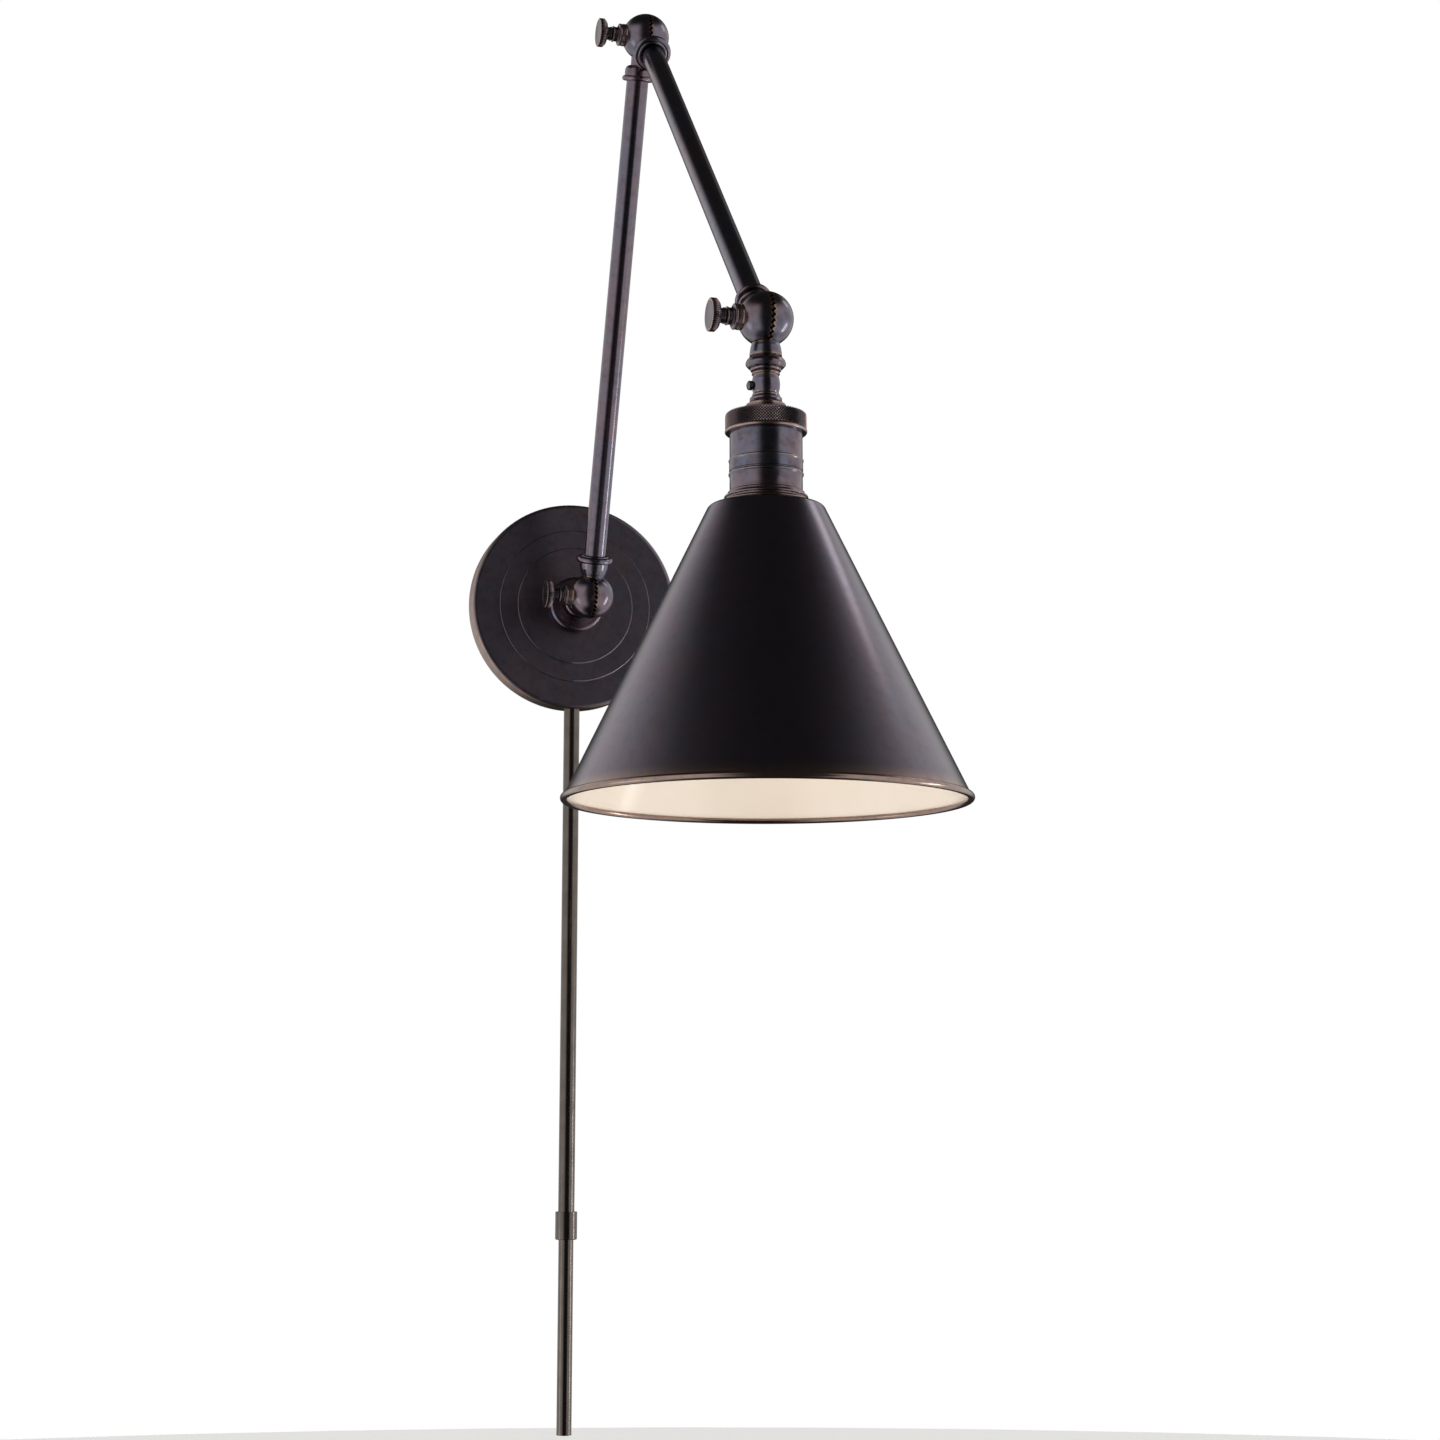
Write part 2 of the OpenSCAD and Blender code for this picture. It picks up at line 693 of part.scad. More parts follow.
module screw_shell() {
    bottom = skirt_bottom - 2.5;
    top = bottom - lamp_bore_l - 0.5;
    color(brass) hang() turned() {
        ring2d(lamp_r, lamp_r + lamp_wall, top - lamp_wall, bottom);
        ring2d(9, lamp_r + lamp_wall, top - lamp_wall, top);
    }
}

module centre_contact() {
    seat = skirt_bottom - lamp_bore_l - 5;
    color(brass) hang() difference() {
        union() {
            rod(6, seat + 0.02, seat + 0.8);
            rod(3, seat + 0.5, seat + 1.3);
            translate([0, 0, seat - 0.5]) sphere(2.6, $fn = 48);
        }
        rod(8, seat - 4, seat + 0.02);
    }
}

module terminal_screws() {
    color(brass) hang() for (side = [-1, 1]) translate([0, side * 9, 0]) difference() {
        union() {
            rod(1.46, body_top, body_top + 5);
            rod(3.1, body_top - 2, body_top - 0.03);
            rod(1.46, body_top - 1, body_top + 1);
        }
        translate([-4, -0.4, body_top - 3]) cube([8, 0.8, 1.6]);
    }
}

// Solid under a trumpet flare that opens from one radius and height to another
module flare(r0, z0, r1, z1) {
    polygon(concat([[0, z0]], [for (a = [0:15:90]) [r0 + (r1 - r0) * (1 - cos(a)), z0 + (z1 - z0) * sin(a)]],
        [[0, z1]]));
}

module shade_holder() {
    top = shell_bottom + 0.05;
    mid = top + holder_h * 0.45;
    lip = 0.6;
    low = shade_top - 0.05;
    mid_r = (shell_d / 2 + holder_r) / 2 - 0.6;
    color(bronze) hang() turned() difference() {
        union() {
            flare(shell_d / 2 - 0.9, top, mid_r, mid - lip);
            ring2d(0, mid_r, mid - lip - 0.01, mid);
            flare(mid_r - 0.4, mid - 0.01, holder_r, low - lip);
            ring2d(0, holder_r, low - lip - 0.01, low);
        }
        ring2d(0, liner_r + 0.05, top - 1, shade_top + 1);
    }
}

// The shade's profile: outer face, or an inner face at a depth under it
function cone_angle() = atan((rim_r - rim_bead_d / 4 - shade_top_d / 2) / shade_h);
module shade_outline(inset) {
    slant = cone_angle();
    seat_r = holder_r + 0.4;
    arm = shoulder_r - inset;
    shoulder_start = shade_top_d / 2 + shoulder_r * sin(top_slope) - seat_r;
    c = [shade_top_d / 2, shade_top + shoulder_start * tan(top_slope) + shoulder_r * cos(top_slope)];
    turn = [for (i = [0:6]) -90 + top_slope + i * (90 - top_slope - slant) / 6];
    slope_end = c + arm * [cos(slant), -sin(slant)];
    run = rim_z - slope_end[1];
    polygon(concat([[0, shade_top + inset], [seat_r - inset * tan(top_slope / 2), shade_top + inset]],
        [for (a = turn) c + arm * [cos(a), sin(a)]], [slope_end + run * [tan(slant), 1], [0, rim_z]]));
}

module shade() {
    bead_r = rim_bead_d / 2;
    color(bronze) hang() turned() difference() {
        union() {
            shade_outline(0);
            translate([rim_r, rim_z]) circle(bead_r, $fn = 32);
        }
        shade_outline(shade_wall);
        ring2d(0, liner_r + 0.3, shade_top - 1, shade_top + 3);
        ring2d(0, rim_r - bead_r, rim_z - 0.05, rim_z + bead_r + 1);
    }
}

module shade_lining() {
    gap = shade_wall + 0.02;
    color(enamel) hang() turned() difference() {
        shade_outline(gap);
        shade_outline(gap + enamel_t);
        ring2d(0, shade_ring_r + 0.5, shade_top, shade_top + 3);
        ring2d(0, shade_d, rim_z - 1, rim_z + 1);
    }
}

module shade_ring() {
    top = shade_top + shade_wall + 0.05;
    color(black) hang() turned() {
        ring2d(liner_r + 0.08, shade_ring_r, top, top + 1.8);
        ring2d(liner_r + 0.08, liner_r + 2.4, top, top + 4.6);
        bead(shade_ring_r + 0.3, top + 0.9, 0.9);
    }
}

wall_plate();
mounting_bar();
ground_screw();
mounting_nipple();
nipple_locknut();
hub_ring();
hub_knuckle();
hub_screw_boss();
hub_thumbscrew();
supply_wires();
cord_cover_tube();
cord_cover_collar();
cord_bushing();
cord_cover_slider();
lower_arm_knuckle();
lower_arm_tube();
lower_arm_wires();
elbow_knuckle();
elbow_screw_boss();
elbow_thumbscrew();
upper_arm_knuckle();
upper_arm_tube();
upper_arm_wires();
shade_knuckle();
shade_screw_boss();
shade_thumbscrew();
neck_knuckle();
neck_barrel();
barrel_set_screw();
head_wires();
socket_cap();
knurled_ring();
socket_shell();
socket_liner();
socket_body();
screw_shell();
centre_contact();
terminal_screws();
shade_holder();
shade();
shade_lining();
shade_ring();
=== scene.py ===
"""Wall light with two hinged arms: the finished pieces, their metals and enamels, and a soft studio.

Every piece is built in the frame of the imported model, in metres, around the CAD nodes that it finishes.
"""

import json
import math

import bmesh
import bpy
from bpy.props import FloatProperty, FloatVectorProperty, IntProperty, PointerProperty
from mathutils import Matrix, Vector


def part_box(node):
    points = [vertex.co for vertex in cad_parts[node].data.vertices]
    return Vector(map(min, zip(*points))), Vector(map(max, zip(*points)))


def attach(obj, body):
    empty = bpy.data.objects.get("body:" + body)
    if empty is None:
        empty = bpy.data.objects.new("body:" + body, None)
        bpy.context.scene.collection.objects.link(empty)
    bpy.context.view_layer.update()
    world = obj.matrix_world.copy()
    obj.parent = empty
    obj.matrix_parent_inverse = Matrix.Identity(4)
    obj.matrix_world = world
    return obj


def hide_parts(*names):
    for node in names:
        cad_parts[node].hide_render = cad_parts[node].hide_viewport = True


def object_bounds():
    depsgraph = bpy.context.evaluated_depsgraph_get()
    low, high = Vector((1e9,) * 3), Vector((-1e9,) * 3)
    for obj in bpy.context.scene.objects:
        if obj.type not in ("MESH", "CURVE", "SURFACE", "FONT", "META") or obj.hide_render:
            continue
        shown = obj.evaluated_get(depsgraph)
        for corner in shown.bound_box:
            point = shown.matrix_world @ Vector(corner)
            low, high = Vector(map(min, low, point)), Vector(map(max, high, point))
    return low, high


bl_info = {
    "name": "Swing Arm Wall Light",
    "version": (1, 0, 0),
    "blender": (4, 5, 0),
    "location": "View3D > Sidebar > Wall Light",
    "description": "Builds the finished pieces of a two-arm wall light around its frame",
    "category": "Object",
}

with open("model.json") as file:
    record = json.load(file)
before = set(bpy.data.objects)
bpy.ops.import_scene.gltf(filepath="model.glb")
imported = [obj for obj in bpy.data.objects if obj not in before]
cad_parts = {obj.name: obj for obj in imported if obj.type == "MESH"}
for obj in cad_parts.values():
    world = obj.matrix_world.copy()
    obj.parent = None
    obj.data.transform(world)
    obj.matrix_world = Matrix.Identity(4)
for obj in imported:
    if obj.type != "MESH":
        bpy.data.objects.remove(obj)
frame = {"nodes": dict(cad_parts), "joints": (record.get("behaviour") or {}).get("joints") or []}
cad_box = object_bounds()

MM = 0.001
# A Mix node's colour sockets, by number, because each of its types has sockets called A, B and Result
MIX_A, MIX_B, MIX_OUT = 6, 7, 2
CAMERA_AIM = Vector((0.09588, 0, 0.01108))
FLOOR_RADIUS = 16
# The knuckles' balls, and the bosses that the thumbscrews pass through
BALL_RADIUS, BOSS_LENGTH = 13.55 * MM, 6.6 * MM
BOSS_END = BALL_RADIUS + BOSS_LENGTH - 0.05 * MM


def linear(hex_colour):
    """A linear RGBA colour from an sRGB hex value."""
    channels = [int(hex_colour[i : i + 2], 16) / 255 for i in (1, 3, 5)]
    return [c / 12.92 if c <= 0.04045 else ((c + 0.055) / 1.055) ** 2.4 for c in channels] + [1.0]


def pivot(joint_name):
    """The point that a hinge turns about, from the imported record."""
    return Vector(next(j["pos_m"] for j in frame["joints"] if j["name"] == joint_name))


hub, elbow, lamp_pivot = pivot("base_hinge"), pivot("elbow_hinge"), pivot("shade_hinge")


def axis_of(node):
    """Where a turned node of the lamp head has its upright axis, and its outer radius, top and bottom."""
    low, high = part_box(node)
    centre = (low + high) / 2
    return Matrix.Translation((centre.x, centre.y, 0)), (high.x - low.x) / 2, high.z, low.z


# ---------------------------------------------------------------- settings


class FinishSettings(bpy.types.PropertyGroup):
    brown: FloatVectorProperty(
        name="Brown patina", description="Warm part of the patina", subtype="COLOR", size=4,
        min=0, max=1, default=linear("#7c6a70"),
    )
    slate: FloatVectorProperty(
        name="Slate patina", description="Cool part of the patina", subtype="COLOR", size=4,
        min=0, max=1, default=linear("#6c6d7c"),
    )
    umber: FloatVectorProperty(
        name="Umber patina", description="Darkest part of the patina", subtype="COLOR", size=4,
        min=0, max=1, default=linear("#53474d"),
    )
    copper: FloatVectorProperty(
        name="Rubbed metal", description="Metal that shows where the patina is rubbed off", subtype="COLOR",
        size=4, min=0, max=1, default=linear("#c4a184"),
    )
    cream: FloatVectorProperty(
        name="Enamel", description="Enamel inside the shade", subtype="COLOR", size=4,
        min=0, max=1, default=linear("#f7ede2"),
    )


class SizeSettings(bpy.types.PropertyGroup):
    knurl_pitch: FloatProperty(
        name="Knurl pitch", description="Width of one diamond on the ring nut", unit="LENGTH",
        default=1.45 * MM, min=0.8 * MM, max=3 * MM,
    )
    knurl_depth: FloatProperty(
        name="Knurl depth", description="Height of one diamond", unit="LENGTH",
        default=0.5 * MM, min=0.1 * MM, max=0.8 * MM,
    )
    mill_count: IntProperty(
        name="Milling teeth", description="Straight teeth round a thumbscrew's head",
        default=52, min=20, max=90,
    )
    mill_depth: FloatProperty(
        name="Milling depth", description="Depth of the straight teeth", unit="LENGTH",
        default=0.38 * MM, min=0.1 * MM, max=0.8 * MM,
    )
    rim_bead: FloatProperty(
        name="Rim bead", description="Diameter of the shade's rolled rim", unit="LENGTH",
        default=3.4 * MM, min=2 * MM, max=5 * MM,
    )
    shade_metal: FloatProperty(
        name="Shade metal", description="Thickness of the shade's metal", unit="LENGTH",
        default=0.9 * MM, min=0.6 * MM, max=1.2 * MM,
    )
    enamel: FloatProperty(
        name="Enamel coat", description="Thickness of the enamel inside the shade", unit="LENGTH",
        default=0.3 * MM, min=0.2 * MM, max=0.4 * MM,
    )
    thread_pitch: FloatProperty(
        name="Lamp thread pitch", description="Pitch of the lampholder's rolled thread", unit="LENGTH",
        default=3.629 * MM, min=3 * MM, max=4 * MM,
    )


class StudioSettings(bpy.types.PropertyGroup):
    lens: FloatProperty(
        name="Lens", description="Focal length in mm on a 36 mm sensor", default=64.85, min=30, max=200
    )
    azimuth: FloatProperty(
        name="Azimuth", description="Side that the camera looks from", subtype="ANGLE",
        default=math.radians(-15.92),
    )
    rise: FloatProperty(
        name="Rise", description="How far the camera looks up", subtype="ANGLE",
        default=math.radians(10.86),
    )
    distance: FloatProperty(
        name="Distance", description="From the camera to the point it looks at", unit="LENGTH",
        default=1.6279,
    )
    shift: FloatProperty(name="Shift", description="Vertical shift of the lens", default=-1 / 12)
    floor_drop: FloatProperty(
        name="Floor", description="Height of the wall plate above the floor", unit="LENGTH", default=2.4
    )


# ---------------------------------------------------------------- materials


def add_node(tree, kind, settings=None, inputs=None):
    """Adds a node, sets its properties, and sets or links its inputs."""
    node = tree.nodes.new(kind)
    for name, value in (settings or {}).items():
        setattr(node, name, value)
    for key, value in (inputs or {}).items():
        if isinstance(value, bpy.types.NodeSocket):
            tree.links.new(value, node.inputs[key])
        else:
            node.inputs[key].default_value = value
    return node


def new_material(name, **values):
    """Makes a material with one Principled shader and constants on its sockets, and returns its tree."""
    material = bpy.data.materials.new(name)
    material.use_nodes = True
    tree = material.node_tree
    shader = tree.nodes["Principled BSDF"]
    for socket, value in values.items():
        shader.inputs[socket.replace("_", " ")].default_value = value
    return tree, shader


def bronze(
    name, roughness, stretch=(1, 1, 1), lines=0.5, mottle=1.0, reach=0.0, rub=1.0, rim=0.0, hollow_wax_and_shade=0.0
):
    """Brass with a brown chemical patina, rubbed by hand and waxed.

    It is dark and satin, cloudy between brown and slate, with copper where the patina is thin on edges and
    beads. stretch is how the finishing lines lie: a large number packs them along that axis. lines is how
    strong they are, and mottle how cloudy the patina is. reach is the width of metal that a rubbed edge
    shows; without it, the mesh's own "crest" attribute says where the metal is rubbed. rim is the radius
    about the wall plate's axis where its edge is rubbed. hollow_wax_and_shade is how dark the hollows
    between crests are painted, partly for old wax left in them and partly as painted shade, and needs the
    attribute.
    """
    colours = bpy.context.scene.wall_light_finish
    cloud_size, speck_size, line_size = 22 * MM, 5 * MM, 9 * MM
    tree, shader = new_material(name, Metallic=1.0, Coat_Weight=0.15, Coat_Roughness=0.18)
    place = add_node(tree, "ShaderNodeTexCoord").outputs["Object"]
    cloud = add_node(
        tree, "ShaderNodeTexNoise",
        inputs={
            "Vector": place, "Scale": 1 / cloud_size, "Detail": 4.0, "Roughness": 0.55, "Distortion": 0.4,
        },
    ).outputs["Fac"]
    cloud_spread = add_node(
        tree, "ShaderNodeMapRange", {"interpolation_type": "SMOOTHSTEP"},
        {"Value": cloud, "From Min": 0.38, "From Max": 0.64, "To Min": 0.5 - 0.5 * mottle,
         "To Max": 0.5 + 0.5 * mottle},
    ).outputs["Result"]
    speck = add_node(
        tree, "ShaderNodeTexNoise",
        inputs={"Vector": place, "Scale": 1 / speck_size, "Detail": 5.0, "Roughness": 0.65},
    ).outputs["Fac"]
    speck_spread = add_node(
        tree, "ShaderNodeMapRange", {"interpolation_type": "SMOOTHSTEP"},
        {"Value": speck, "From Min": 0.42, "From Max": 0.72, "To Max": 0.7 * mottle},
    ).outputs["Result"]
    tint = add_node(
        tree, "ShaderNodeMix", {"data_type": "RGBA"},
        {0: cloud_spread, MIX_A: colours.brown, MIX_B: colours.slate},
    ).outputs[MIX_OUT]
    dirt = add_node(
        tree, "ShaderNodeMix", {"data_type": "RGBA"},
        {0: speck_spread, MIX_A: tint, MIX_B: colours.umber},
    ).outputs[MIX_OUT]
    if reach:
        # Occlusion looked for inside the metal: edges and beads, where it is thin, read as worn
        inside = add_node(
            tree, "ShaderNodeAmbientOcclusion", {"inside": True, "samples": 6}, {"Distance": reach}
        ).outputs["AO"]
        worn = add_node(
            tree, "ShaderNodeMapRange", {"interpolation_type": "SMOOTHSTEP"},
            {"Value": inside, "From Min": 0.92, "From Max": 0.5, "To Max": rub},
        ).outputs["Result"]
    else:
        crest = add_node(tree, "ShaderNodeAttribute", {"attribute_name": "crest"}).outputs["Fac"]
        worn = add_node(
            tree, "ShaderNodeMapRange", {"interpolation_type": "SMOOTHSTEP"},
            {"Value": crest, "From Min": 0.35, "From Max": 1.0, "To Max": rub},
        ).outputs["Result"]
    if rim:
        flat = add_node(
            tree, "ShaderNodeMapping", inputs={"Vector": place, "Scale": (1, 0, 1)}
        ).outputs["Vector"]
        radius = add_node(
            tree, "ShaderNodeVectorMath", {"operation": "LENGTH"}, {0: flat}
        ).outputs["Value"]
        edge = add_node(
            tree, "ShaderNodeMapRange", {"interpolation_type": "SMOOTHSTEP"},
            {"Value": radius, "From Min": rim - 0.5 * MM, "From Max": rim + 0.2 * MM, "To Max": 0.55},
        ).outputs["Result"]
        worn = add_node(tree, "ShaderNodeMath", {"operation": "MAXIMUM"}, {0: worn, 1: edge}).outputs[0]
    patchy = add_node(
        tree, "ShaderNodeMapRange",
        inputs={"Value": speck, "From Min": 0.35, "From Max": 0.55, "To Min": 0.5},
    ).outputs["Result"]
    wear = add_node(tree, "ShaderNodeMath", {"operation": "MULTIPLY"}, {0: worn, 1: patchy}).outputs[0]
    colour = add_node(
        tree, "ShaderNodeMix", {"data_type": "RGBA"}, {0: wear, MIX_A: dirt, MIX_B: colours.copper}
    ).outputs[MIX_OUT]
    if hollow_wax_and_shade:
        # Painted shade: the hollows, where the crest attribute is under 0.35, go towards near-black, partly
        # for old wax left in them and partly as painted shade.
        hollow = add_node(
            tree, "ShaderNodeMapRange",
            inputs={"Value": crest, "From Max": 0.35, "To Min": hollow_wax_and_shade, "To Max": 0.0},
        ).outputs["Result"]
        wax_and_shade_colour = linear("#171213")
        colour = add_node(
            tree, "ShaderNodeMix", {"data_type": "RGBA"}, {0: hollow, MIX_A: colour, MIX_B: wax_and_shade_colour}
        ).outputs[MIX_OUT]
    tree.links.new(colour, shader.inputs["Base Color"])
    # Finishing lines, which break up the gloss and the bump
    along = add_node(
        tree, "ShaderNodeMapping", inputs={"Vector": place, "Scale": stretch}
    ).outputs["Vector"]
    finish = add_node(
        tree, "ShaderNodeTexNoise",
        inputs={"Vector": along, "Scale": 1 / line_size, "Detail": 6.0, "Roughness": 0.7},
    ).outputs["Fac"]
    gloss = add_node(
        tree, "ShaderNodeMapRange",
        inputs={"Value": finish, "From Min": 0.3, "From Max": 0.7, "To Min": roughness - 0.08 * lines,
                "To Max": roughness + 0.12 * lines},
    ).outputs["Result"]
    tree.links.new(gloss, shader.inputs["Roughness"])
    height = add_node(
        tree, "ShaderNodeMath", {"operation": "MULTIPLY_ADD"}, {0: speck, 1: 0.35, 2: finish}
    ).outputs[0]
    bump = add_node(
        tree, "ShaderNodeBump", inputs={"Height": height, "Strength": 0.3 * lines, "Distance": 0.08 * MM}
    ).outputs["Normal"]
    tree.links.new(bump, shader.inputs["Normal"])


def enamel():
    """Vitreous enamel, fired on the inside of the shade: creamy, glossy, and faintly wavy."""
    colours = bpy.context.scene.wall_light_finish
    peel_size, tone_size, warm_cream = 3 * MM, 60 * MM, linear("#f2e2cf")
    tree, shader = new_material("Fired cream enamel", Roughness=0.22, IOR=1.52)
    place = add_node(tree, "ShaderNodeTexCoord").outputs["Object"]
    peel = add_node(
        tree, "ShaderNodeTexNoise", inputs={"Vector": place, "Scale": 1 / peel_size, "Detail": 2.0}
    ).outputs["Fac"]
    tone = add_node(
        tree, "ShaderNodeTexNoise", inputs={"Vector": place, "Scale": 1 / tone_size, "Detail": 2.0}
    ).outputs["Fac"]
    colour = add_node(
        tree, "ShaderNodeMix", {"data_type": "RGBA"},
        {0: tone, MIX_A: colours.cream, MIX_B: warm_cream},
    ).outputs[MIX_OUT]
    tree.links.new(colour, shader.inputs["Base Color"])
    bump = add_node(
        tree, "ShaderNodeBump", inputs={"Height": peel, "Strength": 0.12, "Distance": 0.15 * MM}
    ).outputs["Normal"]
    tree.links.new(bump, shader.inputs["Normal"])


def grained(name, tones, roughness, grain, detail, bump, **values):
    """A material whose tone, gloss and bump follow one fine grain, between two tones and roughnesses."""
    tree, shader = new_material(name, **values)
    place = add_node(tree, "ShaderNodeTexCoord").outputs["Object"]
    fine = add_node(
        tree, "ShaderNodeTexNoise", inputs={"Vector": place, "Scale": 1 / grain, "Detail": detail}
    ).outputs["Fac"]
    colour = add_node(
        tree, "ShaderNodeMix", {"data_type": "RGBA"},
        {0: fine, MIX_A: linear(tones[0]), MIX_B: linear(tones[1])},
    ).outputs[MIX_OUT]
    gloss = add_node(
        tree, "ShaderNodeMapRange", inputs={"Value": fine, "To Min": roughness[0], "To Max": roughness[1]}
    ).outputs["Result"]
    relief = add_node(
        tree, "ShaderNodeBump", inputs={"Height": fine, "Strength": bump, "Distance": 0.05 * MM}
    ).outputs["Normal"]
    tree.links.new(colour, shader.inputs["Base Color"])
    tree.links.new(gloss, shader.inputs["Roughness"])
    tree.links.new(relief, shader.inputs["Normal"])


def plain_metal(name, bright, dull, roughness, grain_mm):
    """A bare or plated metal, bright and dull by turns along a fine grain."""
    spread = (roughness - 0.08, roughness + 0.1)
    grained(name, (bright, dull), spread, grain_mm * MM, 5.0, 0.15, Metallic=1.0)


def moulded(name, body, speck, roughness, grain_mm, ior=1.5):
    """A moulded, fired or painted non-metal with a slight surface texture."""
    spread = (roughness - 0.06, roughness + 0.08)
    grained(name, (body, speck), spread, grain_mm * MM, 3.0, 0.1, IOR=ior)


# ---------------------------------------------------------------- making meshes


def turn_about_axis(bm, profile, steps, merge=True, drop=0.0):
    """Spins the vertices and edges of a profile once about Z, while it moves down by drop in all."""
    bmesh.ops.spin(
        bm, geom=profile, cent=(0, 0, 0), axis=(0, 0, 1), angle=2 * math.pi, steps=steps,
        dvec=(0, 0, -drop / steps), use_merge=merge,
    )


def spun(profile, steps, closed=True):
    """A bmesh turned about Z from (radius, height) points, wound so that its normals point out."""
    bm = bmesh.new()
    points = [bm.verts.new((radius, 0, height)) for radius, height in profile]
    pairs = list(zip(points, points[1:]))
    if closed:
        pairs.append((points[-1], points[0]))
    edges = [bm.edges.new(pair) for pair in pairs]
    turn_about_axis(bm, points + edges, steps)
    bmesh.ops.remove_doubles(bm, verts=bm.verts, dist=0.001 * MM)
    bmesh.ops.recalc_face_normals(bm, faces=bm.faces)
    return bm


def arc(centre, radius, start, end, count=8):
    """Points on an arc of a profile, with angles in degrees from the outward direction."""
    turns = [math.radians(start + (end - start) * i / count) for i in range(count + 1)]
    return [(centre[0] + radius * math.cos(a), centre[1] + radius * math.sin(a)) for a in turns]


def rub_crests(bm, bands):
    """Marks how far metal is rubbed, by bands of lowest height, highest height, least radius, amount. On
    milled bronze an amount under 0.35 darkens the metal instead, partly for old wax and partly as painted
    shade.
    """
    crest = bm.verts.layers.float.new("crest")
    for vert in bm.verts:
        for low, high, radius, amount in bands:
            if low <= vert.co.z <= high and vert.co.xy.length >= radius:
                vert[crest] = amount
    return bm


def piece(name, bm, place, material, body, replaced=(), sharp=35):
    """Puts a bmesh in its place as a named piece that rides on a body."""
    bm.transform(place)
    mesh = bpy.data.meshes.new(name)
    bm.to_mesh(mesh)
    bm.free()
    mesh.polygons.foreach_set("use_smooth", [True] * len(mesh.polygons))
    mesh.set_sharp_from_angle(angle=math.radians(sharp))
    made = bpy.data.objects.new(name, mesh)
    bpy.context.scene.collection.objects.link(made)
    mesh.materials.append(material)
    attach(made, body)
    if replaced:
        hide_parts(*replaced)
    return made


def material_named(name):
    """A material that the finishes operator has made."""
    return bpy.data.materials[name]


# ---------------------------------------------------------------- operators


